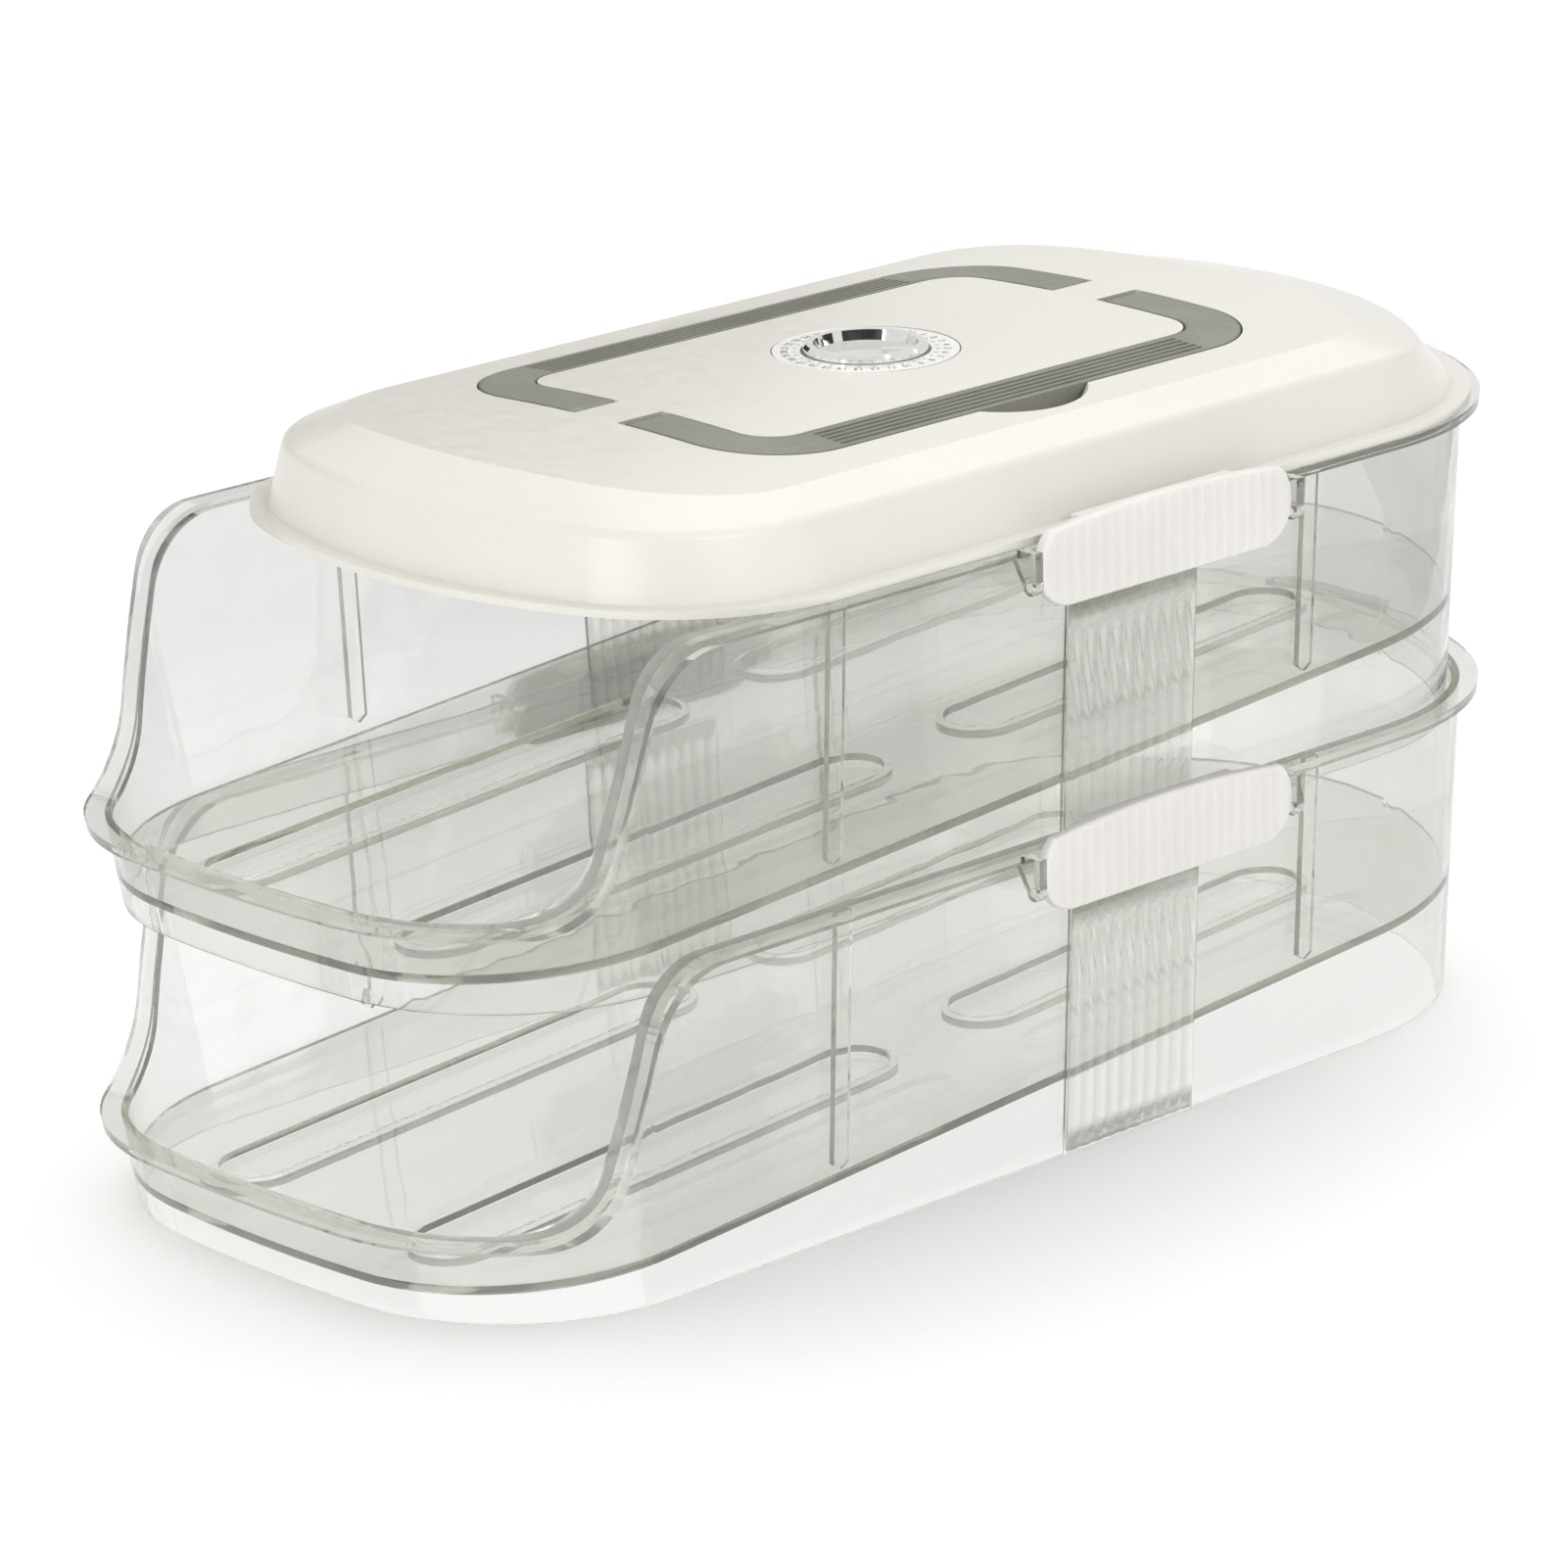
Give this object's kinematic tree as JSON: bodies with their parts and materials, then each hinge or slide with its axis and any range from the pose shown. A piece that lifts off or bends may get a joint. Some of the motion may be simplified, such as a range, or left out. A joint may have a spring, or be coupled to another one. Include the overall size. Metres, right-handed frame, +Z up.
{
  "type": "egg keeper",
  "caption": "Stacking two-tier egg keeper with open-fronted clear trays on sloping floors, flip clips along both sides, and a crowned lid with flush carrying bails and a date dial.",
  "frame": {"origin": "middle of the footprint, on the surface that the keeper stands on", "axes": "+Z up, -Y towards the open front, X across the width"},
  "size_m": [0.1692, 0.3343, 0.161],
  "materials": {
    "tray_clear": "clear moulded plastic with a faint smoky grey-green tint",
    "clip_clear": "translucent white plastic, softly fluted",
    "lid_cream": "satin cream plastic",
    "bail_grey": "matt grey-green plastic",
    "dial_white": "white plastic with a printed scale",
    "chrome": "bright plating",
    "steel": "plain spring steel"
  },
  "bodies": {
    "lower_tier": {"lower_tray": "tray_clear"},
    "upper_tier": {"upper_tray": "tray_clear"},
    "lid_body": {"lid": "lid_cream", "dial_scale_ring": "dial_white"},
    "clip_lower_right": {"clip_lower_right": "clip_clear"},
    "clip_lower_left": {"clip_lower_left": "clip_clear"},
    "clip_upper_right": {"clip_upper_right": "clip_clear"},
    "clip_upper_left": {"clip_upper_left": "clip_clear"},
    "bail_right": {"bail_right": "bail_grey"},
    "bail_left": {"bail_left": "bail_grey"},
    "dial": {"dial_knob": "chrome", "dial_pointer": "chrome", "dial_circlip": "steel"}
  },
  "joints": [
    {"name": "upper_tray_lift", "type": "slide", "parent": "lower_tier", "child": "upper_tier", "axis": [0, 0, 1], "range_m": [0, 0.0172]},
    {"name": "lid_lift", "type": "slide", "parent": "upper_tier", "child": "lid_body", "axis": [0, 0, 1], "range_m": [0, 0.0172]},
    {"name": "clip_lower_right_flip", "type": "hinge", "parent": "lower_tier", "child": "clip_lower_right", "pos_m": [0.0828, 0.01925, 0.0649], "axis": [0, 1, 0], "range_deg": [0, 115]},
    {"name": "clip_lower_left_flip", "type": "hinge", "parent": "lower_tier", "child": "clip_lower_left", "pos_m": [-0.0828, 0.01925, 0.0649], "axis": [0, -1, 0], "range_deg": [0, 115]},
    {"name": "clip_upper_right_flip", "type": "hinge", "parent": "upper_tier", "child": "clip_upper_right", "pos_m": [0.0828, 0.01925, 0.1299], "axis": [0, 1, 0], "range_deg": [0, 115]},
    {"name": "clip_upper_left_flip", "type": "hinge", "parent": "upper_tier", "child": "clip_upper_left", "pos_m": [-0.0828, 0.01925, 0.1299], "axis": [0, -1, 0], "range_deg": [0, 115]},
    {"name": "bail_right_swing", "type": "hinge", "parent": "lid_body", "child": "bail_right", "pos_m": [0.0115, 0.01425, 0.1568], "axis": [0, -1, 0], "range_deg": [0, 98]},
    {"name": "bail_left_swing", "type": "hinge", "parent": "lid_body", "child": "bail_left", "pos_m": [-0.0115, 0.01425, 0.1568], "axis": [0, 1, 0], "range_deg": [0, 98]},
    {"name": "dial_turn", "type": "hinge", "parent": "lid_body", "child": "dial", "pos_m": [0, 0.01485, 0.1595], "axis": [0, 0, 1], "continuous": true}
  ],
  "couplings": [
    {"joint": "clip_lower_right_flip", "follows": "upper_tray_lift", "rad_per_m": 111.1},
    {"joint": "clip_lower_left_flip", "follows": "upper_tray_lift", "rad_per_m": 111.1},
    {"joint": "clip_upper_right_flip", "follows": "lid_lift", "rad_per_m": 111.1},
    {"joint": "clip_upper_left_flip", "follows": "lid_lift", "rad_per_m": 111.1}
  ]
}
